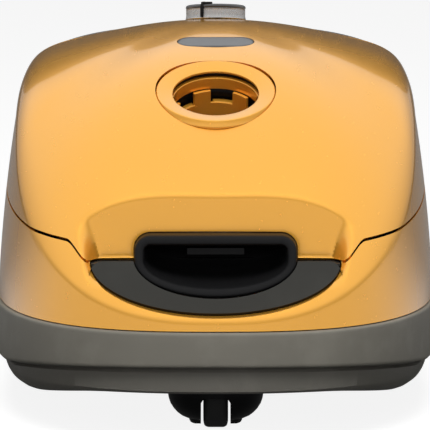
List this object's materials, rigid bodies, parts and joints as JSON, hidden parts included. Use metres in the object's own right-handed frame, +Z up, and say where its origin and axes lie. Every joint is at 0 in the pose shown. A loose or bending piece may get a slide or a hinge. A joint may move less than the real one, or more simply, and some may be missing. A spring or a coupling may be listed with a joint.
{
  "type": "canister vacuum cleaner",
  "caption": "Low canister vacuum cleaner with a hinged dust lid, sloping hose port, carrying pocket, power dial, foot pedals, nose castor and two rear wheels.",
  "frame": {"origin": "on the floor under the centre of the bumper's outline", "axes": "+Y from the nose to the tail, +Z up, +X to the right as seen facing the nose"},
  "size_m": [0.28, 0.463, 0.2433],
  "materials": {
    "yellow_gloss": "clear-coated gloss",
    "warm_grey": "fine satin",
    "bumper": "satin",
    "dark_panel": "satin",
    "black": "satin",
    "rubber": "matt",
    "satin_metal": "knurled satin",
    "steel": "zinc plated",
    "aluminium": "cast",
    "copper": "enamelled winding",
    "grey_blue": "gloss",
    "window": "gloss",
    "pale_grey": "matt",
    "fleece": "non-woven",
    "foam": "open-cell foam",
    "board": "solder mask"
  },
  "bodies": {
    "chassis": {"lower_shell": "warm_grey", "bumper_front": "bumper", "bumper_rear": "bumper", "body_shell": "yellow_gloss", "rear_cover": "yellow_gloss", "carrying_pocket": "black", "front_panel": "dark_panel", "hinge_pin": "steel", "bag_holder": "dark_panel", "bag_collar": "pale_grey", "dust_bag": "fleece", "speed_control": "black", "control_board": "board", "mains_switch": "black", "pedal_spring_left": "steel", "pedal_spring_right": "steel", "exhaust_grille": "yellow_gloss", "exhaust_filter": "fleece", "cable_outlet": "black", "parking_bracket": "dark_panel", "rear_axle_left": "steel", "rear_axle_right": "steel", "bulkhead": "dark_panel", "filter_frame": "pale_grey", "motor_filter": "foam", "fan_housing": "steel", "motor_can": "steel", "motor_mount_front": "rubber", "motor_mount_rear": "rubber", "reel_axle": "steel", "reel_bracket": "pale_grey", "base_screw_1": "steel", "base_screw_2": "steel", "base_screw_3": "steel", "base_screw_4": "steel"},
    "lid": {"lid": "yellow_gloss", "port_ring": "yellow_gloss", "port_socket": "yellow_gloss", "port_seal": "rubber", "indicator_window": "window", "latch_hook_left": "black", "latch_hook_right": "black"},
    "release_lever": {"lid_release_lever": "black"},
    "dial": {"dial_ring": "satin_metal", "dial_cap": "black"},
    "pedal_left": {"foot_pedal_left": "grey_blue"},
    "pedal_right": {"foot_pedal_right": "grey_blue"},
    "castor": {"castor_fork": "black", "castor_axle": "steel"},
    "castor_wheel": {"castor_wheel": "rubber"},
    "wheel_left": {"rear_wheel_left": "warm_grey", "rear_tyre_left": "rubber", "hub_cap_left": "dark_panel"},
    "wheel_right": {"rear_wheel_right": "warm_grey", "rear_tyre_right": "rubber", "hub_cap_right": "dark_panel"},
    "rotor": {"armature": "copper", "impeller": "aluminium"},
    "reel": {"reel_drum": "dark_panel"},
    "brake": {"reel_brake": "rubber"}
  },
  "joints": [
    {"name": "lid_hinge", "type": "hinge", "parent": "chassis", "child": "lid", "pos_m": [0, 0.0605, 0.223], "axis": [-1, 0, 0], "range_deg": [0, 70]},
    {"name": "lever_pull", "type": "hinge", "parent": "chassis", "child": "release_lever", "pos_m": [0, -0.158, 0.1109], "axis": [-1, 0, 0], "range_deg": [0, 5], "stiffness_Nm_per_rad": 0.02},
    {"name": "dial_turn", "type": "hinge", "parent": "chassis", "child": "dial", "pos_m": [0, 0.088, 0.2292], "axis": [0, 0.1409, 0.99], "range_deg": [-105, 135]},
    {"name": "pedal_left_press", "type": "slide", "parent": "chassis", "child": "pedal_left", "axis": [0, 0, -1], "range_m": [0, 0.004], "stiffness_N_per_m": 900, "springref_m": -0.002, "deforming": ["pedal_spring_left"]},
    {"name": "pedal_right_press", "type": "slide", "parent": "chassis", "child": "pedal_right", "axis": [0, 0, -1], "range_m": [0, 0.004], "stiffness_N_per_m": 900, "springref_m": -0.002, "deforming": ["pedal_spring_right"]},
    {"name": "castor_swivel", "type": "hinge", "parent": "chassis", "child": "castor", "pos_m": [0, -0.162, 0.05], "axis": [0, 0, 1], "continuous": true},
    {"name": "castor_roll", "type": "hinge", "parent": "castor", "child": "castor_wheel", "pos_m": [0, -0.156, 0.018], "axis": [1, 0, 0], "continuous": true},
    {"name": "wheel_left_roll", "type": "hinge", "parent": "chassis", "child": "wheel_left", "pos_m": [-0.114, 0.112, 0.046], "axis": [1, 0, 0], "continuous": true},
    {"name": "wheel_right_roll", "type": "hinge", "parent": "chassis", "child": "wheel_right", "pos_m": [0.114, 0.112, 0.046], "axis": [1, 0, 0], "continuous": true},
    {"name": "rotor_spin", "type": "hinge", "parent": "chassis", "child": "rotor", "pos_m": [-0.032, 0.05, 0.104], "axis": [0, 1, 0], "continuous": true},
    {"name": "reel_turn", "type": "hinge", "parent": "chassis", "child": "reel", "pos_m": [0.066, 0.056, 0.106], "axis": [1, 0, 0], "continuous": true},
    {"name": "brake_lift", "type": "slide", "parent": "chassis", "child": "brake", "axis": [0, 0, 1], "range_m": [0, 0.003]}
  ],
  "couplings": [
    {"joint": "brake_lift", "follows": "pedal_right_press", "ratio": 0.75}
  ]
}
